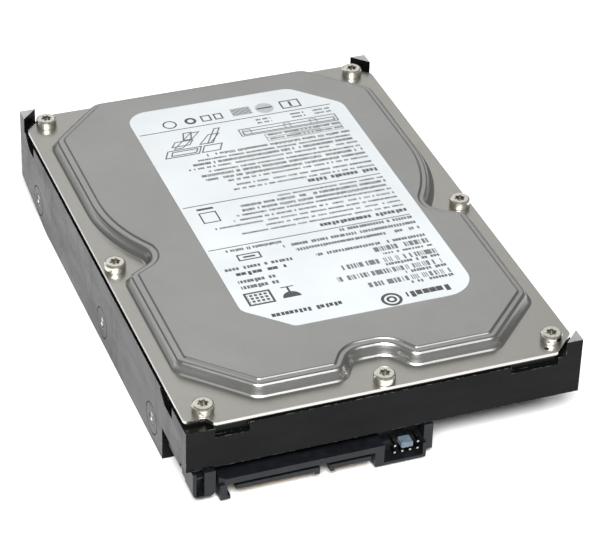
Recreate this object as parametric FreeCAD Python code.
"""A 3.5 inch hard disk drive, built as the separate pieces it is assembled from.

Frame: +Z up through the lid, -Y towards the connectors, origin at the middle of the
outer box on the plane that the side rails stand on.  Millimetres.
"""
import FreeCAD
import Part
import math
import os

V = FreeCAD.Vector

# ---------------------------------------------------------------- driving dimensions
LENGTH = 146.99                 # form factor: connectors to far end
WIDTH = 101.60
HEIGHT = 26.10
CONNECTOR_OVERHANG = 2.0        # connectors stand this far out of the casting

# heights of the housing
LABEL_T = 0.15
SHEET_T = 0.8                   # lid
BEAD_RISE = 3.3                 # flange to raised middle of the lid
GASKET_T = 0.9
POST_TOP = 25.0                 # three bare corner posts
FLOOR_UNDER = 5.6
FLOOR_TOP = 8.2
FRONT_WALL_BOTTOM = 9.5
FRONT_LEDGE_TOP = 11.5
FRONT_LEDGE_DEPTH = 10.0        # raised floor above the connectors
WALL_T = 2.4
REAR_UNDER = 4.5                # underside at the far end
REAR_TAPER = 24.5

# rails and mounting holes
RAIL_W = 6.0
RAIL_FRONT_GAP = 18.2           # casting front to the start of the rails
HOLE_D = 3.5                    # 6-32 UNC
SIDE_HOLE_Z = 6.35
SIDE_HOLE_DEPTH = 3.8
SIDE_HOLE_STEP = 0.002          # the right row stands this much higher, so no two holes share one axis
SIDE_HOLES = (28.50, 70.10, 130.10)
SIDE_PAD_R = 4.3
BOTTOM_SPACING_X = 95.25
BOTTOM_HOLES = (41.28, 85.73)
BOTTOM_HOLE_DEPTH = 4.6

# disc pack and motor
PLATTER_R = 47.5
PLATTER_T = 1.27
PLATTER_BORE_R = 12.5
PLATTER_Z = 13.4                # underside of the lower platter
SPACER_T = 2.4
SPACER_W = 3.0
DISC_CLEARANCE = 0.9
HUB_CLEARANCE = 0.05
WELL_R = 17.0
WELL_FLOOR = 5.4
WELL_UNDER = 3.4
WELL_WALL = 1.6
SLEEVE_R = 5.6
SPINDLE_R = 2.5
BEARING_GAP = 0.04
THRUST_R = 4.0
THRUST_T = 0.8
CLAMP_R = 15.5
CLAMP_T = 1.1
CLAMP_BOLT_R = 9.0
CLAMP_BOLTS = 6
STATOR_R = 10.0
STATOR_POLES = 9
MAGNET_RING_T = 1.3
AIR_GAP = 0.3

# head actuator
PIVOT_DISTANCE = 57.0
PIVOT_ANGLE = 22.7              # pivot's bearing from the spindle, measured from -Y
HEAD_REACH = 47.0
PARK_R = 20.0                   # landing zone
OUTER_R = 45.8                  # outermost data track
PIVOT_SHAFT_R = 2.0
PIVOT_SLEEVE_R = 6.5
PIVOT_BEARING_R = 5.0
PIVOT_BEARING_H = 2.3
BLOCK_R = 9.0
ARM_ROOM = 0.7                  # from an arm's face to the disc beside it
ARM_T = SPACER_T - 2 * ARM_ROOM
BOSS_GAP = 0.3                  # between the bosses that enter one arm from both faces
ARM_REACH = 33.0
ARM_ROOT_W = 11.0
ARM_TIP_W = 5.0
SPRING_T = 0.15
SLIDER_GAP = 0.05
SLIDER_T = 0.3
COIL_IN_R = 13.0
COIL_OUT_R = 25.0
COIL_HALF_ANGLE = 24.0
COIL_W = 3.2
COIL_T = 2.8
COIL_GAP = 0.4
FORK_W = 1.6
MAGNET_T = 2.5
YOKE_T = 2.6
YOKE_IN_R = 10.6
YOKE_OUT_R = 27.0
YOKE_EAR_R = 2.8
YOKE_EAR_AT = 28.2
YOKE_SPREAD = 6.0               # plate reaches past the swept coil
STOP_R = 1.5
STOP_GAP = 0.3
FLEX_X = 1.5                    # bracket face that the flat cable leaves from
FLEX_T = 0.25
LATCH_POST_R = 1.0

# circuit board and connectors
BOARD_Z = 2.6
BOARD_T = 1.2
BOARD_SETBACK = 6.9             # board edge behind the connector faces
BOARD_CLEARANCE = 0.5
BOARD_STEP = 6.0                # the front edge stands back beyond the connectors
BOARD_STEP_X = 12.8
PAD_T = 1.4
CHIP_T = 1.2
SHROUD_TOP = 6.8
SHROUD_T = 1.7
TONGUE_Z = 3.0
TONGUE_T = 1.2
KEY_DROP = 0.8
CONNECTOR_BOTTOM = 0.8
POWER_X = (-38.8, -17.6)
DATA_X = (-14.9, -4.5)
JUMPER_X = (-1.9, 9.8)
CONTACT_PITCH = 1.27
JUMPER_BLOCK = 3.6              # face to the block that holds the pins
JUMPER_PITCH = 2.0
JUMPER_PIN = 0.5
JUMPER_ROW_Z = (2.9, 4.9)
JUMPER_FIRST_X = 1.1

# fasteners
SCREW_HEAD_D = 5.5
SCREW_HEAD_H = 2.2
SCREW_SHANK_R = 1.25
SCREW_DEPTH = 7.0

# ---------------------------------------------------------------- worked-out places
HALF_W = WIDTH / 2
REAR = LENGTH / 2
FACE = -LENGTH / 2                          # connector faces
FRONT = FACE + CONNECTOR_OVERHANG           # casting front
LID_TOP = HEIGHT - LABEL_T
FLANGE_TOP = LID_TOP - BEAD_RISE
FLANGE_UNDER = FLANGE_TOP - SHEET_T
RIM = FLANGE_UNDER - GASKET_T
LEDGE = FRONT + FRONT_LEDGE_DEPTH
FLOOR_FRONT = LEDGE - WALL_T
SPINDLE_Y = REAR - WALL_T - DISC_CLEARANCE - PLATTER_R
PIVOT_X = PIVOT_DISTANCE * math.sin(math.radians(PIVOT_ANGLE))
PIVOT_Y = SPINDLE_Y - PIVOT_DISTANCE * math.cos(math.radians(PIVOT_ANGLE))
UPPER_Z = PLATTER_Z + PLATTER_T + SPACER_T
STACK_TOP = UPPER_Z + PLATTER_T
HUB_TOP = STACK_TOP + 0.55
ARM_ZS = (PLATTER_Z - ARM_ROOM - ARM_T, PLATTER_Z + PLATTER_T + ARM_ROOM, STACK_TOP + ARM_ROOM)
BLOCK_Z = (ARM_ZS[0] - 0.5, ARM_ZS[2] + ARM_T + 0.5)
COIL_Z = ARM_ZS[1] + (ARM_T - COIL_T) / 2
BOARD_TOP = BOARD_Z + BOARD_T
BOARD_FRONT = FACE + BOARD_SETBACK
SHELL_BACK = FLOOR_FRONT - BOARD_CLEARANCE


def swing_angle(track_r):
    """Angle at the pivot between the spindle and a head standing on this radius."""
    cosine = (PIVOT_DISTANCE**2 + HEAD_REACH**2 - track_r**2) / (2 * PIVOT_DISTANCE * HEAD_REACH)
    return math.degrees(math.acos(cosine))


ARM_PARKED = 90 + PIVOT_ANGLE - swing_angle(PARK_R)
ARM_OUT = 90 + PIVOT_ANGLE - swing_angle(OUTER_R)
COIL_MID = (ARM_PARKED + ARM_OUT) / 2 + 180
SWEEP_HALF = (ARM_PARKED - ARM_OUT) / 2 + COIL_HALF_ANGLE

BACK_SCREW = (HALF_W - 6.0, REAR - 5.4)
MID_SCREW = (HALF_W - 3.6, SPINDLE_Y - 26.5)
FRONT_SCREW = (HALF_W - 6.0, FRONT + 5.5)
LID_SCREWS = (
    (-BACK_SCREW[0], BACK_SCREW[1]), BACK_SCREW,
    (-MID_SCREW[0], MID_SCREW[1]), MID_SCREW,
    (-FRONT_SCREW[0], FRONT_SCREW[1]), FRONT_SCREW,
    (0.0, FRONT + 3.1),
)
BOARD_SCREWS = ((-39.0, BOARD_FRONT + 18), (39.0, BOARD_FRONT + 18),
                (-39.0, BOARD_FRONT + 62), (39.0, BOARD_FRONT + 62), (17.5, BOARD_FRONT + 9))


# ---------------------------------------------------------------- shape helpers
def box(x, y, z):
    """Box between the two ends given for each axis."""
    return Part.makeBox(x[1] - x[0], y[1] - y[0], z[1] - z[0], V(x[0], y[0], z[0]))


def cylinder(x, y, r, z):
    return Part.makeCylinder(r, z[1] - z[0], V(x, y, z[0]))


def ring(x, y, inner, outer, z):
    return cylinder(x, y, outer, z).cut(cylinder(x, y, inner, z))


def polygon(points, z):
    """Prism over straight-sided corner points."""
    corners = [V(px, py, z[0]) for px, py in points]
    face = Part.Face(Part.makePolygon(corners + corners[:1]))
    return face.extrude(V(0, 0, z[1] - z[0]))


def turned(profile, x, y):
    """Solid of revolution about a vertical axis from (radius, height) points."""
    corners = [V(x + r, y, z) for r, z in profile]
    face = Part.Face(Part.makePolygon(corners + corners[:1]))
    return face.revolve(V(x, y, 0), V(0, 0, 1), 360)


def outline(corners, z, inset=0.0):
    """Closed wire through (x, y, radius) corners, counter-clockwise, moved inwards by inset."""
    count = len(corners)
    lines = []
    for i in range(count):
        a, b = corners[i], corners[(i + 1) % count]
        along = V(b[0] - a[0], b[1] - a[1], 0).normalize()
        lines.append((V(a[0] - along.y * inset, a[1] + along.x * inset, z), along))
    edges = []
    starts = []
    ends = []
    arcs = []
    for i in range(count):
        (p, u), (q, w) = lines[i - 1], lines[i]
        cross = u.x * w.y - u.y * w.x
        step = ((q.x - p.x) * w.y - (q.y - p.y) * w.x) / cross
        corner = p + u * step
        radius = corners[i][2] - inset if cross > 0 else corners[i][2] + inset
        turn = math.acos(max(-1.0, min(1.0, u.dot(w))))
        reach = radius * math.tan(turn / 2)
        starts.append(corner - u * reach)
        ends.append(corner + w * reach)
        middle = (w - u).normalize()
        arcs.append(corner + middle * (radius / math.cos(turn / 2) - radius))
    for i in range(count):
        edges.append(Part.Arc(starts[i], arcs[i], ends[i]).toShape())
        edges.append(Part.LineSegment(ends[i], starts[(i + 1) % count]).toShape())
    return Part.Wire(edges)


def slab(corners, z, inset=0.0):
    """Prism over a rounded outline."""
    return Part.Face(outline(corners, z[0], inset)).extrude(V(0, 0, z[1] - z[0]))


def sector(x, y, inner, outer, middle, half, z):
    """Part of a flat ring between two angles, in degrees."""
    def at(r, angle):
        a = math.radians(angle)
        return V(x + r * math.cos(a), y + r * math.sin(a), z[0])

    first, last = middle - half, middle + half
    wire = Part.Wire([
        Part.Arc(at(outer, first), at(outer, middle), at(outer, last)).toShape(),
        Part.LineSegment(at(outer, last), at(inner, last)).toShape(),
        Part.Arc(at(inner, last), at(inner, middle), at(inner, first)).toShape(),
        Part.LineSegment(at(inner, first), at(outer, first)).toShape()])
    return Part.Face(wire).extrude(V(0, 0, z[1] - z[0]))


def polar(r, angle):
    a = math.radians(angle)
    return (PIVOT_X + r * math.cos(a), PIVOT_Y + r * math.sin(a))


def on_pivot(shape, angle):
    """Carry a shape drawn along +X from the origin onto the pivot at this angle."""
    shape = shape.copy()
    shape.rotate(V(0, 0, 0), V(0, 0, 1), angle)
    shape.translate(V(PIVOT_X, PIVOT_Y, 0))
    return shape


def line(a, b, z):
    return Part.LineSegment(V(*a, z), V(*b, z)).toShape()


def arc(a, middle, b, z):
    return Part.Arc(V(*a, z), V(*middle, z), V(*b, z)).toShape()


def fuse(shapes):
    first, *rest = shapes
    return first.fuse(rest).removeSplitter() if rest else first


def group(shapes):
    return Part.makeCompound(shapes)


def write(name, shape):
    """Check that every solid is closed and sound, then write the node."""
    solids = shape.Solids
    if not solids or not shape.isValid() or min(s.Volume for s in solids) <= 0:
        raise ValueError(name + " is not a sound solid")
    if len(solids) == 1:
        shape = solids[0]
    shape.exportStep("parts/" + name + ".step")
    print(f"{name:22s} solids {len(solids):3d}  volume {shape.Volume:10.1f} mm3")


# ---------------------------------------------------------------- shared outlines
def flange_corners():
    """Edge of the lid: cut corners beside the posts, a tab at the front left."""
    side = HALF_W - 0.4
    back, front = REAR - 0.5, FRONT + 0.1
    cut = 6.1
    return [
        (side, front + cut, 1.5), (side, back - cut, 1.5), (side - cut, back, 1.5),
        (-side + cut, back, 1.5), (-side, back - cut, 1.5), (-side, front + 2.5, 1.2),
        (-side + 5.1, front + 2.5, 0.8), (-side + 6.7, front, 1.0), (side - cut, front, 1.5)]


def bead_corners():
    """Foot of the raised middle: round the discs, notched in beside the screws."""
    side = HALF_W - 3.5
    diagonal = 16.0
    back, front = REAR - 1.4, FRONT + 5.2
    tip = (side - 8.9, SPINDLE_Y - 27.6)
    waist = SPINDLE_Y - 32.9
    around = SPINDLE_Y - 13.2
    bump = front + 6.6
    return [
        (8.5, front, 4.6), (side - diagonal, front, 5.0), (side, front + diagonal, 5.0),
        (side, waist, 4.5), (tip[0], tip[1], 3.2), (side, around, 46.0),
        (side, back - diagonal, 6.0), (side - diagonal, back, 6.0),
        (-side + diagonal, back, 6.0), (-side, back - diagonal, 6.0),
        (-side, around, 46.0), (-tip[0], tip[1], 3.2), (-side, waist, 4.5),
        (-side, front + diagonal, 5.0), (-side + diagonal, front, 5.0), (-8.5, front, 4.6),
        (-4.2, bump, 4.5), (4.2, bump, 4.5)]


def cavity(z):
    """Inside of the casting: round the discs, and open towards the actuator."""
    disc = cylinder(0, SPINDLE_Y, PLATTER_R + DISC_CLEARANCE, z)
    return slab(bead_corners(), z, 1.0).fuse(disc)


# ---------------------------------------------------------------- housing
def side_strips(z):
    """The strip along the foot of each long wall."""
    y = (FRONT + RAIL_FRONT_GAP, REAR)
    return [box(sorted((s * HALF_W, s * (HALF_W - RAIL_W))), y, z) for s in (-1, 1)]


def side_hole(side, y):
    """Screw hole in a long wall, inside a shallow machined ring."""
    groove_w, groove_depth = 0.3, 0.25
    mouth = V(side * HALF_W, y, SIDE_HOLE_Z + (SIDE_HOLE_STEP if side > 0 else 0))
    inwards = V(-side, 0, 0)
    hole = Part.makeCylinder(HOLE_D / 2, SIDE_HOLE_DEPTH, mouth, inwards)
    pad = Part.makeCylinder(SIDE_PAD_R, groove_depth, mouth, inwards)
    core = Part.makeCylinder(SIDE_PAD_R - groove_w, groove_depth, mouth, inwards)
    return hole.fuse(pad.cut(core))


def bottom_hole(side, y):
    return cylinder(side * BOTTOM_SPACING_X / 2, y, HOLE_D / 2, (0, BOTTOM_HOLE_DEPTH))


def corner_post(side_x, side_y, leg=4.3):
    x = side_x * HALF_W
    y = REAR if side_y > 0 else FRONT
    return polygon([(x, y), (x - side_x * leg, y), (x, y - side_y * leg)], (RIM - 0.5, POST_TOP))


def lifting_notches():
    """Slanted pockets in the top edge of both long walls, near the corners."""
    notches = []
    for side in (-1, 1):
        for y0, y1 in ((FRONT + 10.5, FRONT + 19.5), (REAR - 13.5, REAR - 6.0)):
            x = side * HALF_W
            points = [(y0, RIM + 1), (y1, RIM + 1), (y1, RIM - 1.0), (y1 - 3.5, RIM - 3.2), (y0, RIM - 3.2)]
            corners = [V(x - side * 1.3, y, z) for y, z in points]
            face = Part.Face(Part.makePolygon(corners + corners[:1]))
            notches.append(face.extrude(V(side * 2.0, 0, 0)))
    return notches


def underside_pockets():
    """Cored-out blocks under the two far corners, which keep the wall even."""
    pockets = []
    for side in (-1, 1):
        x = sorted((side * (HALF_W - RAIL_W - 1.0), side * (HALF_W - RAIL_W - 9.0)))
        pockets.append(box(x, (REAR - 9.0, REAR - 2.5), (REAR_UNDER - 1, FLOOR_TOP + 4.0)))
    return pockets


def underside_recesses():
    """Shallow fan of pockets round the motor well, with ribs left between them."""
    count = 6
    z = (FLOOR_UNDER - 1, FLOOR_UNDER + 0.8)
    pitch = 170 / count
    return [sector(0, SPINDLE_Y, WELL_R + 6.0, SPINDLE_Y + WELL_R + 1.0, 90 + pitch * (k - (count - 1) / 2),
                   pitch / 2 - 2.0, z) for k in range(count)]


def rim_notches():
    """Shallow steps in the top of the front wall, where a tool lifts the lid."""
    y = (FRONT - 1, FRONT + 1.2)
    return [box((-HALF_W + 7.2, -HALF_W + 15.8), y, (RIM - 2.6, RIM + 1)),
            box((HALF_W - 18.8, HALF_W - 6.3), y, (RIM - 1.9, RIM + 1))]


def base_casting():
    upper = box((-HALF_W, HALF_W), (FRONT, REAR), (FRONT_WALL_BOTTOM, RIM))
    floor_x = HALF_W - 1.0
    floor = box((-floor_x, floor_x), (FLOOR_FRONT, REAR), (FLOOR_UNDER, FRONT_WALL_BOTTOM))
    rails = side_strips((0, FRONT_WALL_BOTTOM))
    rear = box((-HALF_W, HALF_W), (REAR - WALL_T, REAR), (REAR_UNDER, FRONT_WALL_BOTTOM))
    well = cylinder(0, SPINDLE_Y, WELL_R + WELL_WALL, (WELL_UNDER, FLOOR_TOP))
    posts = [corner_post(-1, 1), corner_post(1, 1), corner_post(1, -1)]
    body = fuse([upper, floor, rear, well] + rails + posts)
    ledge = box((-HALF_W, HALF_W), (FRONT, LEDGE), (0, FRONT_LEDGE_TOP))
    body = body.cut([cavity((FLOOR_TOP, RIM + 0.1)).cut(ledge),
                     cylinder(0, SPINDLE_Y, WELL_R, (WELL_FLOOR, FLOOR_TOP + 1))])
    seat = fuse([cylinder(0, SPINDLE_Y, SLEEVE_R + 1.0, (WELL_UNDER, BLOCK_Z[0] - 2.2)),
                 cylinder(PIVOT_X, PIVOT_Y, 4.5, (FLOOR_UNDER, FLOOR_TOP + 0.8))])
    body = body.fuse(seat)
    bosses = [cylinder(x, y, 3.0, (BOARD_TOP, FLOOR_UNDER + 1)) for x, y in BOARD_SCREWS]
    body = body.fuse(bosses)
    cuts = [cylinder(0, SPINDLE_Y, SLEEVE_R, (WELL_UNDER - 1, BLOCK_Z[0])),
            cylinder(PIVOT_X, PIVOT_Y, 1.5, (FLOOR_UNDER + 0.8, FLOOR_TOP + 1))]
    for side in (-1, 1):
        cuts += [side_hole(side, FACE + y) for y in SIDE_HOLES]
        cuts += [bottom_hole(side, FACE + y) for y in BOTTOM_HOLES]
    cuts += [cylinder(x, y, SCREW_SHANK_R, (RIM - SCREW_DEPTH, RIM + 1)) for x, y in LID_SCREWS]
    cuts += [cylinder(x, y, 0.9, (BOARD_TOP - 1, BOARD_TOP + 3.2)) for x, y in BOARD_SCREWS]
    cuts += lifting_notches() + underside_pockets() + underside_recesses()
    cuts += rim_notches()
    cuts.append(head_contact_block(0.0).cut(box((-99, 99), (-99, 99), (-9, FLOOR_UNDER - 1))))
    rear_slope = [V(-HALF_W - 1, REAR - REAR_TAPER, 0), V(-HALF_W - 1, REAR + 1, 0),
                  V(-HALF_W - 1, REAR + 1, REAR_UNDER), V(-HALF_W - 1, REAR, REAR_UNDER)]
    wedge = Part.Face(Part.makePolygon(rear_slope + rear_slope[:1])).extrude(V(WIDTH + 2, 0, 0))
    cuts.append(wedge)
    return body.cut(cuts).removeSplitter()


def lid_sections(lower, shrink):
    """Rising S of the bead, the narrow shelf and the small second step, as (inset, height)."""
    swell = 2.4
    main = BEAD_RISE - 0.4
    steps = 7
    rows = []
    for i in range(steps + 1):
        t = i / steps
        height = main * (t - math.sin(2 * math.pi * t) / (2 * math.pi) * 0.85)
        rows.append((swell * t, height))
    rows += [(3.35, main + 0.03), (3.5, main + 0.12), (3.75, BEAD_RISE - 0.08), (3.95, BEAD_RISE)]
    return [(inset + shrink, FLANGE_TOP + height - lower) for inset, height in rows]


def raised(sections):
    wires = [outline(bead_corners(), z, inset) for inset, z in sections]
    return Part.makeLoft(wires, True, True)


def top_cover():
    flange = slab(flange_corners(), (FLANGE_UNDER, FLANGE_TOP))
    outside = raised([(-0.0, FLANGE_UNDER)] + lid_sections(0.0, 0.0))
    inside = raised([(SHEET_T * 0.6, FLANGE_UNDER - 0.5)] + lid_sections(SHEET_T, SHEET_T * 0.6))
    lid = flange.fuse(outside).cut(inside)
    through = (FLANGE_UNDER - 1, FLANGE_TOP + 1)
    holes = [cylinder(x, y, SCREW_SHANK_R + 0.25, through) for x, y in LID_SCREWS]
    pin = cylinder(FRONT_SCREW[0] - 2.6, FRONT_SCREW[1] - 3.2, 0.6, through)
    return lid.cut(holes + [pin])


def cover_gasket():
    z = (RIM, FLANGE_UNDER)
    outer = slab(flange_corners(), z, 0.7)
    hole = slab(bead_corners(), z, 0.2).fuse(cylinder(0, SPINDLE_Y, PLATTER_R + DISC_CLEARANCE + 0.2, z))
    screws = [cylinder(x, y, SCREW_SHANK_R + 0.35, z) for x, y in LID_SCREWS]
    return outer.cut([hole] + screws)


def screw_head(x, y, r, base, height):
    """Flat head with a small chamfer on the side away from its seat."""
    side = base + height - math.copysign(0.3, height)
    return turned([(0, base), (r, base), (r, side), (r - 0.3, base + height), (0, base + height)], x, y)


def torx_recess(x, y, r, z):
    """Six round lobes about a round core."""
    lobes = []
    for angle in range(0, 360, 60):
        turn = math.radians(angle)
        lobes.append(cylinder(x + r * 0.72 * math.cos(turn), y + r * 0.72 * math.sin(turn), r * 0.28, z))
    return cylinder(x, y, r * 0.76, z).fuse(lobes)


def lid_screw(x, y):
    r = SCREW_HEAD_D / 2
    top = FLANGE_TOP + SCREW_HEAD_H
    head = turned([(0, FLANGE_TOP), (r - 0.1, FLANGE_TOP), (r, FLANGE_TOP + 0.15), (r, top - 0.45),
                   (r - 0.15, top - 0.15), (r - 0.5, top), (0, top)], x, y)
    shank = cylinder(x, y, SCREW_SHANK_R, (RIM - SCREW_DEPTH + 0.5, FLANGE_TOP))
    return head.fuse(shank).cut(torx_recess(x, y, 1.4, (top - 1.3, top + 1)))


def cover_screws():
    return group([lid_screw(x, y) for x, y in LID_SCREWS])


def top_label():
    left, right = -24.8, 34.6
    back, front = SPINDLE_Y + 38.2, SPINDLE_Y - 68.1
    corners = [(right, front, 8.0), (right, back - 11.9, 5.0), (right - 11.9, back, 5.0),
               (left, back, 6.0), (left, front + 10.1, 3.0), (left + 10.7, front, 3.0)]
    return slab(corners, (LID_TOP, LID_TOP + LABEL_T))


# ---------------------------------------------------------------- spindle motor and discs
def spindle_sleeve():
    thrust_z = WELL_UNDER + 0.8
    pocket_top = thrust_z + THRUST_T + 2 * BEARING_GAP
    pocket_r = THRUST_R + 0.1
    bore = SPINDLE_R + BEARING_GAP
    outer = SLEEVE_R
    return turned([(0, WELL_UNDER), (outer, WELL_UNDER), (outer, HUB_TOP - 4.1), (bore, HUB_TOP - 4.1),
                   (bore, pocket_top), (pocket_r, pocket_top), (pocket_r, thrust_z), (0, thrust_z)],
                  0, SPINDLE_Y)


def spindle_shaft():
    foot = WELL_UNDER + 0.8 + BEARING_GAP
    return turned([(0, foot), (THRUST_R, foot), (THRUST_R, foot + THRUST_T), (SPINDLE_R, foot + THRUST_T),
                   (SPINDLE_R, HUB_TOP), (0, HUB_TOP)], 0, SPINDLE_Y)


def spindle_hub():
    magnet_in = STATOR_R + AIR_GAP
    skirt_in = magnet_in + MAGNET_RING_T
    skirt_out = skirt_in + 1.5
    ceiling = PLATTER_Z - 3.0
    skirt_z = WELL_FLOOR + 1.2
    barrel = PLATTER_BORE_R - HUB_CLEARANCE
    hub = turned([(SPINDLE_R, HUB_TOP - 3.5), (SLEEVE_R + 0.6, HUB_TOP - 3.5), (SLEEVE_R + 0.6, ceiling),
                  (skirt_in, ceiling), (skirt_in, skirt_z), (skirt_out, skirt_z),
                  (skirt_out, PLATTER_Z - 1.4), (CLAMP_R + 0.5, PLATTER_Z - 1.4), (CLAMP_R + 0.5, PLATTER_Z),
                  (barrel, PLATTER_Z), (barrel, HUB_TOP), (SPINDLE_R, HUB_TOP)], 0, SPINDLE_Y)
    return hub.cut([cylinder(x, y, 0.9, (HUB_TOP - 3.0, HUB_TOP + 1)) for x, y in clamp_bolt_places()])


def rotor_magnet():
    inner = STATOR_R + AIR_GAP
    return ring(0, SPINDLE_Y, inner, inner + MAGNET_RING_T, (WELL_FLOOR + 1.4, PLATTER_Z - 3.4))


def stator_core():
    z = (WELL_FLOOR + 1.9, WELL_FLOOR + 3.9)
    yoke = ring(0, SPINDLE_Y, SLEEVE_R + 1.0, SLEEVE_R + 2.0, z)
    teeth = []
    for k in range(STATOR_POLES):
        angle = 360 / STATOR_POLES * k
        stem = box((SLEEVE_R + 1.5, STATOR_R - 0.4), (-0.6, 0.6), z)
        stem.rotate(V(0, 0, 0), V(0, 0, 1), angle)
        stem.translate(V(0, SPINDLE_Y, 0))
        teeth += [stem, sector(0, SPINDLE_Y, STATOR_R - 0.7, STATOR_R, angle, 360 / STATOR_POLES * 0.36, z)]
    return fuse([yoke] + teeth)


def stator_coils():
    z = (WELL_FLOOR + 1.9, WELL_FLOOR + 3.9)
    coils = []
    for k in range(STATOR_POLES):
        turns = box((SLEEVE_R + 2.15, STATOR_R - 0.8), (-1.15, 1.15), (z[0] - 0.6, z[1] + 0.6))
        turns = turns.cut(box((0, STATOR_R), (-0.6, 0.6), z))
        turns.rotate(V(0, 0, 0), V(0, 0, 1), 360 / STATOR_POLES * k)
        turns.translate(V(0, SPINDLE_Y, 0))
        coils.append(turns)
    return group(coils)


def platter(z):
    edge = 0.15
    return turned([(PLATTER_BORE_R, z), (PLATTER_R - edge, z), (PLATTER_R, z + edge),
                   (PLATTER_R, z + PLATTER_T - edge), (PLATTER_R - edge, z + PLATTER_T),
                   (PLATTER_BORE_R, z + PLATTER_T)], 0, SPINDLE_Y)


def platter_spacer():
    return ring(0, SPINDLE_Y, PLATTER_BORE_R, PLATTER_BORE_R + SPACER_W, (PLATTER_Z + PLATTER_T, UPPER_Z))


def clamp_bolt_places():
    step = 2 * math.pi / CLAMP_BOLTS
    return [(CLAMP_BOLT_R * math.cos(step * k), SPINDLE_Y + CLAMP_BOLT_R * math.sin(step * k))
            for k in range(CLAMP_BOLTS)]


def disc_clamp():
    top = HUB_TOP + CLAMP_T
    clamp = turned([(3.2, HUB_TOP), (CLAMP_R - 2.2, HUB_TOP), (CLAMP_R - 1.9, STACK_TOP),
                    (CLAMP_R - 0.3, STACK_TOP), (CLAMP_R, STACK_TOP + 0.3), (CLAMP_R, top - 0.4),
                    (CLAMP_R - 0.4, top), (3.2, top)], 0, SPINDLE_Y)
    return clamp.cut([cylinder(x, y, 1.05, (HUB_TOP - 1, HUB_TOP + 3)) for x, y in clamp_bolt_places()])


def clamp_screws():
    base = HUB_TOP + CLAMP_T
    screws = []
    for x, y in clamp_bolt_places():
        head = screw_head(x, y, 1.75, base, 1.0)
        shank = cylinder(x, y, 0.9, (HUB_TOP - 2.6, base))
        screws.append(head.fuse(shank).cut(torx_recess(x, y, 0.85, (base + 0.3, base + 2))))
    return group(screws)


# ---------------------------------------------------------------- head actuator
def pivot_shaft():
    base = FLOOR_UNDER + 0.8
    foot = FLOOR_TOP + 0.8
    top = BLOCK_Z[1] + 1.0
    return turned([(0, base), (1.5, base), (1.5, foot), (4.2, foot), (4.2, foot + 0.8),
                   (2.8, foot + 1.2), (PIVOT_SHAFT_R, foot + 1.2), (PIVOT_SHAFT_R, top),
                   (1.2, top), (1.2, top - 1.6), (0, top - 1.6)], PIVOT_X, PIVOT_Y)


def pivot_bearing_levels():
    return (BLOCK_Z[0] + 0.3, BLOCK_Z[1] - 0.3 - PIVOT_BEARING_H)


def pivot_bearings():
    pieces = []
    inner_out, outer_in = 2.9, 4.0
    ball_r = (outer_in - inner_out) / 2 - 0.01
    race_r = (outer_in + inner_out) / 2
    balls = 9
    for z in pivot_bearing_levels():
        levels = (z, z + PIVOT_BEARING_H)
        pieces.append(ring(PIVOT_X, PIVOT_Y, PIVOT_SHAFT_R, inner_out, levels))
        pieces.append(ring(PIVOT_X, PIVOT_Y, outer_in, PIVOT_BEARING_R - BEARING_GAP, levels))
        for k in range(balls):
            x, y = polar(race_r, 360 / balls * k)
            pieces.append(Part.makeSphere(ball_r, V(x, y, z + PIVOT_BEARING_H / 2)))
    return group(pieces)


def pivot_sleeve():
    return ring(PIVOT_X, PIVOT_Y, PIVOT_BEARING_R, PIVOT_SLEEVE_R, (BLOCK_Z[0] - 0.2, BLOCK_Z[1] + 0.3))


def arm_plate(z):
    """One arm: wide at the block, tapering to the tip, lightened by two round holes."""
    half_root, half_tip = ARM_ROOT_W / 2, ARM_TIP_W / 2
    plate = polygon([(0, -half_root), (ARM_REACH - 6, -half_tip), (ARM_REACH, -half_tip),
                     (ARM_REACH, half_tip), (ARM_REACH - 6, half_tip), (0, half_root)], (z, z + ARM_T))
    holes = [cylinder(14.5, 0, 2.4, (z - 1, z + 2)), cylinder(21.5, 0, 1.7, (z - 1, z + 2))]
    return plate.cut(holes + [cylinder(ARM_REACH - 2.6, 0, 1.0, (z - 1, z + 2))])


def actuator_arm():
    body = cylinder(0, 0, BLOCK_R, BLOCK_Z)
    arms = [arm_plate(z) for z in ARM_ZS]
    fork = coil_cradle(COIL_Z + 0.3, COIL_Z + COIL_T - 0.3)
    flat = box((-3.5, 3.5), (BLOCK_R - 0.8, BLOCK_R + 1), (BLOCK_Z[0] - 1, BLOCK_Z[1] + 1))
    block = fuse([body] + arms + [fork]).cut([cylinder(0, 0, PIVOT_SLEEVE_R, (0, HEIGHT)), flat])
    return on_pivot(block, ARM_PARKED)


def coil_cradle(z0, z1):
    """Two tapering prongs behind the block that hold the coil between them."""
    prongs = []
    inner = COIL_HALF_ANGLE
    for side in (-1, 1):
        near, far = BLOCK_R - 2.0, COIL_OUT_R - 1.0
        a = math.radians(180 + side * inner)
        across = V(-math.sin(a), math.cos(a), 0) * side
        along = V(math.cos(a), math.sin(a), 0)
        p, q = along * near, along * far
        outer_p, outer_q = p + across * (FORK_W + 0.8), q + across * FORK_W
        prongs.append(polygon([(c.x, c.y) for c in (p, q, outer_q, outer_p)], (z0, z1)))
    return fuse(prongs)


def voice_coil():
    """Flat wound coil: a sector with a sector window."""
    z = (COIL_Z, COIL_Z + COIL_T)
    window_half = COIL_HALF_ANGLE - math.degrees(COIL_W / ((COIL_IN_R + COIL_OUT_R) / 2))
    window = sector(0, 0, COIL_IN_R + COIL_W, COIL_OUT_R - COIL_W, 180, window_half, z)
    coil = sector(0, 0, COIL_IN_R, COIL_OUT_R, 180, COIL_HALF_ANGLE, z).cut(window)
    return on_pivot(coil, ARM_PARKED)


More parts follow.
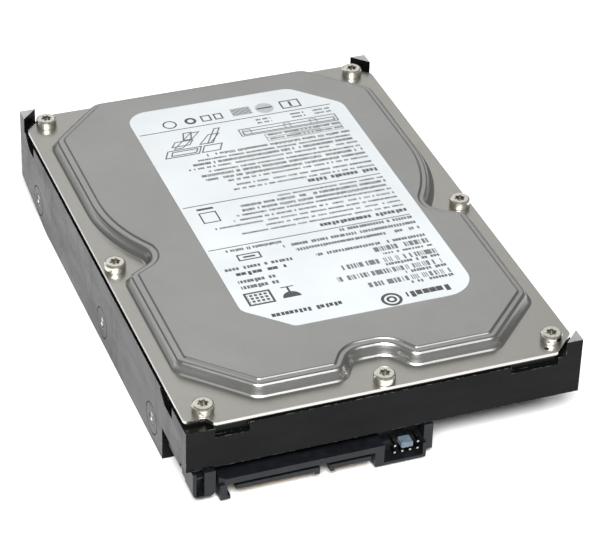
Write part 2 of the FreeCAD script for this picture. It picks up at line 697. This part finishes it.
def coil_filler():
    """Moulded bridge between the block and the root of the coil."""
    z = (COIL_Z + 0.3, COIL_Z + COIL_T - 0.3)
    bridge = sector(0, 0, BLOCK_R, COIL_IN_R, 180, COIL_HALF_ANGLE - 4.0, z)
    core = sector(0, 0, COIL_IN_R + COIL_W, COIL_OUT_R - COIL_W, 180, 4.0, z)
    return on_pivot(group([bridge, core]), ARM_PARKED)


def head_faces():
    """(arm face, direction) of the four heads, from the lowest up."""
    low, middle, high = ARM_ZS
    return ((low + ARM_T, 1), (middle, -1), (middle + ARM_T, 1), (high, -1))


def between(z, side, near, far):
    return sorted((z + side * near, z + side * far))


def head_suspension(index):
    z, side = head_faces()[index]
    half = ARM_TIP_W / 2
    sheet = between(z, side, 0, SPRING_T)
    base = box((ARM_REACH - 5.2, ARM_REACH + 1.0), (-half, half), sheet)
    tip = HEAD_REACH + 0.9
    beam = polygon([(ARM_REACH, -half), (tip, -0.7), (tip, 0.7), (ARM_REACH, half)], sheet)
    start, end = ARM_REACH + 1.2, ARM_REACH + 4.2
    window = polygon([(start, -1.0), (end, -0.7), (end, 0.7), (start, 1.0)], (0, HEIGHT))
    gimbal = box((HEAD_REACH - 0.5, HEAD_REACH + 0.5), (-0.45, 0.45),
                 between(z, side, SPRING_T, ARM_ROOM - SLIDER_GAP - SLIDER_T))
    boss = cylinder(ARM_REACH - 2.6, 0, 1.0, between(z, side, (BOSS_GAP - ARM_T) / 2, SPRING_T))
    return on_pivot(fuse([base, beam]).cut(window).fuse([gimbal, boss]).removeSplitter(), ARM_PARKED)


def head_slider(index):
    z, side = head_faces()[index]
    levels = between(z, side, ARM_ROOM - SLIDER_GAP - SLIDER_T, ARM_ROOM - SLIDER_GAP)
    return on_pivot(box((HEAD_REACH - 0.62, HEAD_REACH + 0.62), (-0.5, 0.5), levels), ARM_PARKED)


def preamp_chip():
    face = BLOCK_R - 0.8
    return on_pivot(box((-2.6, 2.6), (face, face + 0.9), (COIL_Z - 0.8, COIL_Z + COIL_T + 0.4)), ARM_PARKED)


# ---------------------------------------------------------------- voice-coil motor
def yoke_plate(z):
    half = SWEEP_HALF + YOKE_SPREAD
    plate = sector(PIVOT_X, PIVOT_Y, YOKE_IN_R, YOKE_OUT_R, COIL_MID, half, z)
    ears = [cylinder(*polar(YOKE_EAR_AT, a), YOKE_EAR_R, z) for a in yoke_ear_angles()]
    return fuse([plate] + ears)


def yoke_ear_angles():
    reach = SWEEP_HALF + YOKE_SPREAD - 5.0
    return (COIL_MID - reach, COIL_MID, COIL_MID + reach)


def yoke_levels():
    low = FLOOR_TOP
    magnet_low = COIL_Z - COIL_GAP
    magnet_high = COIL_Z + COIL_T + COIL_GAP
    return low, magnet_low - MAGNET_T, magnet_low, magnet_high, magnet_high + MAGNET_T


def vcm_lower_plate():
    plate = yoke_plate(yoke_levels()[:2])
    return plate.cut([cylinder(*polar(YOKE_EAR_AT, a), 0.9, (0, HEIGHT)) for a in yoke_ear_angles()])


def vcm_upper_plate():
    plate_z = yoke_levels()[4]
    plate = yoke_plate((plate_z, plate_z + YOKE_T))
    return plate.cut([cylinder(*polar(YOKE_EAR_AT, a), 1.0, (0, HEIGHT)) for a in yoke_ear_angles()])


def yoke_magnet(z):
    half = SWEEP_HALF - 5.0
    return sector(PIVOT_X, PIVOT_Y, COIL_IN_R + 0.5, YOKE_OUT_R - 1.0, COIL_MID, half, z)


def vcm_standoffs():
    posts = [ring(*polar(YOKE_EAR_AT, a), 0.9, 1.8, yoke_levels()[1::3]) for a in yoke_ear_angles()]
    return group(posts)


def vcm_screws():
    top = yoke_levels()[4] + YOKE_T
    screws = []
    for angle in yoke_ear_angles():
        x, y = polar(YOKE_EAR_AT, angle)
        head = screw_head(x, y, 2.1, top, 0.9)
        shank = cylinder(x, y, 0.9, (FLOOR_TOP + 0.3, top))
        screws.append(head.fuse(shank).cut(torx_recess(x, y, 1.0, (top + 0.3, top + 2))))
    return group(screws)


def crash_stops():
    """Rubber-sleeved posts that meet the coil prongs at both ends of the swing."""
    at = COIL_OUT_R - 3.5
    turn = SWEEP_HALF + math.degrees((FORK_W + STOP_GAP + STOP_R + 0.35) / at)
    places = [polar(at, COIL_MID + side * turn) for side in (-1, 1)]
    return group([cylinder(x, y, STOP_R, yoke_levels()[1::3]) for x, y in places])


# ---------------------------------------------------------------- cables, latch, filters
def latch_post():
    return cylinder(*latch_place(), LATCH_POST_R, (FLOOR_TOP, COIL_Z + COIL_T + 1.2))


def latch_place():
    return polar(COIL_OUT_R + 7.0, ARM_PARKED + 180 - COIL_HALF_ANGLE - 17.5)


def latch_lever():
    """Light lever that swings on its post, its tip standing just outside the parked coil."""
    z = (COIL_Z + 0.4, COIL_Z + COIL_T - 0.4)
    x, y = latch_place()
    tip_x, tip_y = polar(COIL_OUT_R + 1.6, ARM_PARKED + 180 - COIL_HALF_ANGLE - 5.0)
    length = math.hypot(tip_x - x, tip_y - y)
    bore_r = LATCH_POST_R + BEARING_GAP
    boss = cylinder(0, 0, bore_r + 1.2, (z[0] - 0.6, z[1] + 0.6))
    lever = polygon([(1.0, -1.2), (length, -0.5), (length, 0.5), (1.0, 1.2)], z)
    weight = polygon([(-1.0, 1.2), (-4.2, 1.6), (-4.2, -1.2), (-1.0, -1.2)], z)
    latch = fuse([boss, lever, weight]).cut(cylinder(0, 0, bore_r, (0, HEIGHT)))
    latch.rotate(V(0, 0, 0), V(0, 0, 1), math.degrees(math.atan2(tip_y - y, tip_x - x)))
    latch.translate(V(x, y, 0))
    return latch


def head_contact_block(grow):
    """Sealed plug that carries the head signals through the floor."""
    x, y = (-14.0, 0.0), (PIVOT_Y - 6.0, PIVOT_Y + 2.0)
    return box((x[0] - grow, x[1] + grow), (y[0] - grow, y[1] + grow), (BOARD_TOP, FLOOR_TOP))


def flex_bracket():
    """Formed clip over the plug: a foot, and an upright that leads the flat cable."""
    front, back = PIVOT_Y - 7.0, PIVOT_Y + 1.5
    foot = box((-16.0, FLEX_X), (front - 1.0, back + 1.5), (FLOOR_TOP, FLOOR_TOP + 1.0))
    upright = box((FLEX_X - 1.0, FLEX_X), (front, back), (FLOOR_TOP + 1.0, BLOCK_Z[1] - 1.0))
    return foot.fuse(upright)


def flex_cable():
    """Flat ribbon folded over from the bracket, ending clear of everything that swings."""
    z = (COIL_Z - 1.2, COIL_Z + COIL_T + 1.0)
    front, back = PIVOT_Y - 6.5, PIVOT_Y + 1.5
    r = 1.5
    far = FLEX_X + 2 * r
    tip = back - 3.0
    sheet = Part.Wire([
        line((FLEX_X, front), (FLEX_X, back), z[0]),
        arc((FLEX_X, back), (FLEX_X + r, back + r), (far, back), z[0]),
        line((far, back), (far, tip), z[0]),
        line((far, tip), (far - FLEX_T, tip), z[0]),
        line((far - FLEX_T, tip), (far - FLEX_T, back), z[0]),
        arc((far - FLEX_T, back), (FLEX_X + r, back + r - FLEX_T), (FLEX_X + FLEX_T, back), z[0]),
        line((FLEX_X + FLEX_T, back), (FLEX_X + FLEX_T, front), z[0]),
        line((FLEX_X + FLEX_T, front), (FLEX_X, front), z[0])])
    return Part.Face(sheet).extrude(V(0, 0, z[1] - z[0]))


def desiccant_pack():
    front, back = LEDGE + 4.5, LEDGE + 15.0
    corners = [(-20.0, front, 2.0), (-20.0, back, 2.0), (-37.5, back, 2.0), (-37.5, front, 2.0)]
    return slab(corners, (FLOOR_TOP, FLOOR_TOP + 8.0))


def recirculation_filter():
    x, y = -MID_SCREW[0] + 7.6, MID_SCREW[1] - 14.0
    pad = box((x - 1.6, x + 1.6), (y - 5.0, y + 5.0), (FLOOR_TOP, RIM - 2.0))
    pad.rotate(V(x, y, 0), V(0, 0, 1), 35)
    return pad


# ---------------------------------------------------------------- circuit board
def board_outline(z, edge=0.0):
    inner = HALF_W - RAIL_W - BOARD_CLEARANCE - edge
    wide = HALF_W - 2.2 - edge
    shoulder = FRONT + RAIL_FRONT_GAP - BOARD_CLEARANCE - edge
    front = BOARD_FRONT + edge
    back = SPINDLE_Y - 4.0 - edge
    board = polygon([(-wide, front), (wide, front), (wide, shoulder), (inner, shoulder), (inner, back),
                     (-inner, back), (-inner, shoulder), (-wide, shoulder)], z)
    notch = cylinder(0, SPINDLE_Y, WELL_R + WELL_WALL + 2.4 + edge, z)
    stepped = box((BOARD_STEP_X, HALF_W), (FACE, BOARD_FRONT + BOARD_STEP), z)
    return board.cut([notch, stepped])


def circuit_board():
    board = board_outline((BOARD_Z, BOARD_TOP))
    holes = [cylinder(x, y, 1.1, (0, FLOOR_TOP)) for x, y in BOARD_SCREWS]
    return board.cut(holes)


def insulator_foam():
    z = (BOARD_TOP, BOARD_TOP + PAD_T)
    pad = board_outline(z, 3.0)
    front_clear = box((-HALF_W, HALF_W), (FACE, LEDGE), (0, HEIGHT))
    holes = [cylinder(x, y, 3.6, z) for x, y in BOARD_SCREWS]
    return pad.cut(holes + [front_clear, head_contact_block(0.6)])


def board_screws():
    screws = []
    for x, y in BOARD_SCREWS:
        head = screw_head(x, y, 2.0, BOARD_Z, -0.9)
        shank = cylinder(x, y, 0.9, (BOARD_Z, BOARD_TOP + 2.8))
        screws.append(head.fuse(shank).cut(torx_recess(x, y, 1.0, (BOARD_Z - 2, BOARD_Z - 0.3))))
    return group(screws)


def chip(x, y, wide, deep, legs_x, legs_y, thick=CHIP_T):
    """Flat package under the board with rows of short legs on the sides asked for."""
    bottom = BOARD_Z - thick
    body = box((x - wide / 2, x + wide / 2), (y - deep / 2, y + deep / 2), (bottom, BOARD_Z - 0.1))
    pieces = [body]
    leg_z = (BOARD_Z - 0.5, BOARD_Z)
    for count, length, sideways in ((legs_x, wide, False), (legs_y, deep, True)):
        for k in range(count):
            along = -length / 2 + (k + 0.5) * length / count
            for side in (-1, 1):
                if sideways:
                    lx = sorted((x + side * wide / 2, x + side * (wide / 2 + 0.8)))
                    pieces.append(box(lx, (y + along - 0.15, y + along + 0.15), leg_z))
                else:
                    ly = sorted((y + side * deep / 2, y + side * (deep / 2 + 0.8)))
                    pieces.append(box((x + along - 0.15, x + along + 0.15), ly, leg_z))
    return group(pieces)


def small_components():
    """Chip resistors and capacitors in tidy rows about the large chips."""
    z = (BOARD_Z - 0.6, BOARD_Z)
    rows = ((-16.0, -26.0, 7, 2.4), (-16.0, -29.5, 7, 2.4), (12.0, -22.5, 6, 2.4), (12.0, -54.0, 8, 2.6),
            (-37.0, -52.0, 5, 2.4), (-20.0, -60.5, 7, 3.2), (22.0, -59.0, 5, 3.0))
    pieces = []
    for x, y, count, pitch in rows:
        for k in range(count):
            cx, cy = x + pitch * k, FACE + 73.5 + y
            pieces.append(box((cx - 0.4, cx + 0.4), (cy - 0.8, cy + 0.8), z))
    for x, y in ((33.0, -30.0), (33.0, -36.0), (-39.5, -34.0)):
        cy = FACE + 73.5 + y
        pieces.append(box((x - 1.7, x + 1.7), (cy - 1.4, cy + 1.4), (BOARD_Z - 1.5, BOARD_Z)))
    return group(pieces)


def motor_contacts():
    """Four sprung pads that lead the motor windings onto the board."""
    y = SPINDLE_Y - WELL_R - WELL_WALL - 4.4
    pads = []
    for k in range(4):
        x = -3.0 + 2.0 * k
        pads.append(box((x - 0.6, x + 0.6), (y - 2.0, y), (BOARD_Z - 0.35, BOARD_Z)))
    return group(pads)


# ---------------------------------------------------------------- connectors
def connector_shell():
    """Moulded body: end lug, top shroud, guide walls, two keyed tongues, open jumper bay."""
    back = SHELL_BACK
    root = BOARD_FRONT
    shroud_under = SHROUD_TOP - SHROUD_T
    left, right = POWER_X[0] - 2.9, JUMPER_X[0]
    pieces = [
        box((left, right), (FACE, back), (shroud_under, SHROUD_TOP)),
        box((left, right), (root - 0.6, back), (BOARD_TOP, shroud_under)),
        box((POWER_X[0], DATA_X[1]), (root - 0.6, root), (TONGUE_Z, shroud_under)),
        box((left - 1.2, left + 0.6), (FACE, back), (BOARD_TOP, SHROUD_TOP)),
        box((left - 1.2, left + 0.6), (FACE, root), (CONNECTOR_BOTTOM, SHROUD_TOP)),
        box((left - 1.2, left + 1.4), (FACE, root), (CONNECTOR_BOTTOM, CONNECTOR_BOTTOM + 1.0)),
        box((DATA_X[1] + 1.0, right), (FACE, root), (CONNECTOR_BOTTOM, SHROUD_TOP)),
    ]
    for x0, x1 in (POWER_X, DATA_X):
        pieces.append(box((x0, x1), (FACE + 0.2, root), (TONGUE_Z, TONGUE_Z + TONGUE_T)))
    for x in (POWER_X[1] - 1.1, DATA_X[0]):
        pieces.append(box((x, x + 1.1), (FACE + 0.2, root), (TONGUE_Z - KEY_DROP, TONGUE_Z + 0.1)))
    pieces += end_lug(left, back) + jumper_bay(right, back)
    shell = fuse(pieces)
    corner = polygon([(left - 1.3, FACE - 0.1), (left + 0.2, FACE - 0.1), (left - 1.3, FACE + 1.4)],
                     (shroud_under, SHROUD_TOP + 1))
    return shell.cut([corner] + contact_slots() + jumper_pin_solids())


def end_lug(left, back):
    """Hollow lug at the outer end, with a tall slot crossed by one small bar."""
    outer, inner = -HALF_W + 1.4, left - 2.0
    y = (FACE + 1.0, BOARD_FRONT)
    top = FRONT_WALL_BOTTOM - 0.3
    lug = box((outer, inner), y, (2.0, top))
    edges = [e for e in lug.Edges if abs(e.BoundBox.ZMax - 2.0) < 0.01 and e.BoundBox.YLength > 1]
    lug = lug.makeFillet(1.4, edges)
    slot = box((outer + 0.9, outer + 2.9), (y[0] - 1, y[0] + 2.6), (2.4, top + 1))
    bar = box((outer + 0.9, outer + 2.9), (y[0] + 0.9, y[0] + 2.6), (6.9, 7.5))
    web = box((outer, left), (BOARD_FRONT - 2.0, back), (BOARD_TOP, SHROUD_TOP))
    return [lug.cut(slot), bar, web]


def jumper_bay(left, back):
    """Tray with a floor, two side walls and a back wall, open above and in front."""
    right = JUMPER_X[1]
    wall = 0.8
    face = FACE
    tall = SHROUD_TOP - SHROUD_T
    return [
        box((left, right), (face, BOARD_FRONT), (CONNECTOR_BOTTOM, CONNECTOR_BOTTOM + 0.7)),
        box((left, left + wall), (face, BOARD_FRONT), (CONNECTOR_BOTTOM, SHROUD_TOP)),
        box((right - wall, right), (face, BOARD_FRONT), (CONNECTOR_BOTTOM, tall)),
        box((left, right + 2.4), (BOARD_FRONT - 1.6, back), (BOARD_TOP, SHROUD_TOP + 1.6)),
        box((left, right), (FACE + JUMPER_BLOCK, BOARD_FRONT), (CONNECTOR_BOTTOM, tall)),
        box((right, right + 2.4), (FACE + 1.8, BOARD_FRONT), (1.4, FRONT_WALL_BOTTOM - 0.5)),
    ]


def contact_places():
    """Centre x of each power and signal contact."""
    places = []
    for (x0, x1), count in ((POWER_X, 15), (DATA_X, 7)):
        middle = (x0 + x1) / 2
        for k in range(count):
            places.append(middle + (k - (count - 1) / 2) * CONTACT_PITCH)
    return places


def contact_blades(back, bottom):
    """One flat blade at each contact, along the top of the tongues."""
    y = (FACE + 1.0, back)
    return [box((x - 0.35, x + 0.35), y, (bottom, TONGUE_Z + 0.25)) for x in contact_places()]


def contact_slots():
    return contact_blades(BOARD_FRONT + 0.1, TONGUE_Z - 0.01)


def sata_contacts():
    return group(contact_blades(BOARD_FRONT, TONGUE_Z))


def jumper_pin_solids():
    pins = []
    half = JUMPER_PIN / 2
    for z in JUMPER_ROW_Z:
        for k in range(4):
            x = JUMPER_FIRST_X + JUMPER_PITCH * (k + 0.5)
            pins.append(box((x - half, x + half), (FACE + 1.2, BOARD_FRONT), (z - half, z + half)))
    return pins


def jumper_cap():
    """Pull-off cap over two neighbouring pins of the upper row."""
    x = JUMPER_FIRST_X + JUMPER_PITCH * 2
    z = JUMPER_ROW_Z[1]
    fit = 0.05
    half = JUMPER_PIN / 2 + fit
    y = (FACE + 0.8, FACE + JUMPER_BLOCK - 0.1)
    cap = box((x - 1.5, x + 1.5), y, (z - 0.75, z + 0.75))
    upright = [e for e in cap.Edges if e.BoundBox.YLength > 1]
    cap = cap.makeFillet(0.2, upright)
    bores = [box((x + s * JUMPER_PITCH / 2 - half, x + s * JUMPER_PITCH / 2 + half), (FACE + 1.1, y[1] + 1),
                 (z - half, z + half)) for s in (-1, 1)]
    return cap.cut(bores)


# ---------------------------------------------------------------- the assembly
def build():
    os.makedirs("parts", exist_ok=True)
    chip_y = BOARD_FRONT + 25.0
    write("base_casting", base_casting())
    write("top_cover", top_cover())
    write("cover_gasket", cover_gasket())
    write("cover_screws", cover_screws())
    write("top_label", top_label())
    write("spindle_sleeve", spindle_sleeve())
    write("spindle_shaft", spindle_shaft())
    write("spindle_hub", spindle_hub())
    write("rotor_magnet", rotor_magnet())
    write("stator_core", stator_core())
    write("stator_coils", stator_coils())
    write("lower_platter", platter(PLATTER_Z))
    write("upper_platter", platter(UPPER_Z))
    write("platter_spacer", platter_spacer())
    write("disc_clamp", disc_clamp())
    write("clamp_screws", clamp_screws())
    write("pivot_shaft", pivot_shaft())
    write("pivot_bearings", pivot_bearings())
    write("pivot_sleeve", pivot_sleeve())
    write("actuator_arm", actuator_arm())
    write("voice_coil", voice_coil())
    write("coil_filler", coil_filler())
    for index in range(4):
        write(f"head_suspension_{index + 1}", head_suspension(index))
        write(f"head_slider_{index + 1}", head_slider(index))
    write("preamp_chip", preamp_chip())
    low, plate_top, magnet_top, coil_top, _ = yoke_levels()
    write("vcm_lower_plate", vcm_lower_plate())
    write("vcm_upper_plate", vcm_upper_plate())
    write("vcm_lower_magnet", yoke_magnet((plate_top, magnet_top)))
    write("vcm_upper_magnet", yoke_magnet((coil_top, coil_top + MAGNET_T)))
    write("vcm_standoffs", vcm_standoffs())
    write("vcm_screws", vcm_screws())
    write("crash_stops", crash_stops())
    write("latch_post", latch_post())
    write("latch_lever", latch_lever())
    write("head_contacts", head_contact_block(0.0))
    write("flex_bracket", flex_bracket())
    write("flex_cable", flex_cable())
    write("desiccant_pack", desiccant_pack())
    write("recirculation_filter", recirculation_filter())
    write("circuit_board", circuit_board())
    write("insulator_foam", insulator_foam())
    write("board_screws", board_screws())
    write("controller_chip", chip(-8.0, chip_y, 17.0, 17.0, 20, 20))
    write("motor_driver_chip", chip(22.0, chip_y + 2.0, 11.0, 11.0, 12, 12))
    write("cache_chip", chip(-30.5, chip_y + 4.0, 10.0, 18.0, 0, 14))
    write("small_components", small_components())
    write("motor_contacts", motor_contacts())
    write("connector_shell", connector_shell())
    write("sata_contacts", sata_contacts())
    write("jumper_pins", group(jumper_pin_solids()))
    write("jumper_cap", jumper_cap())


build()
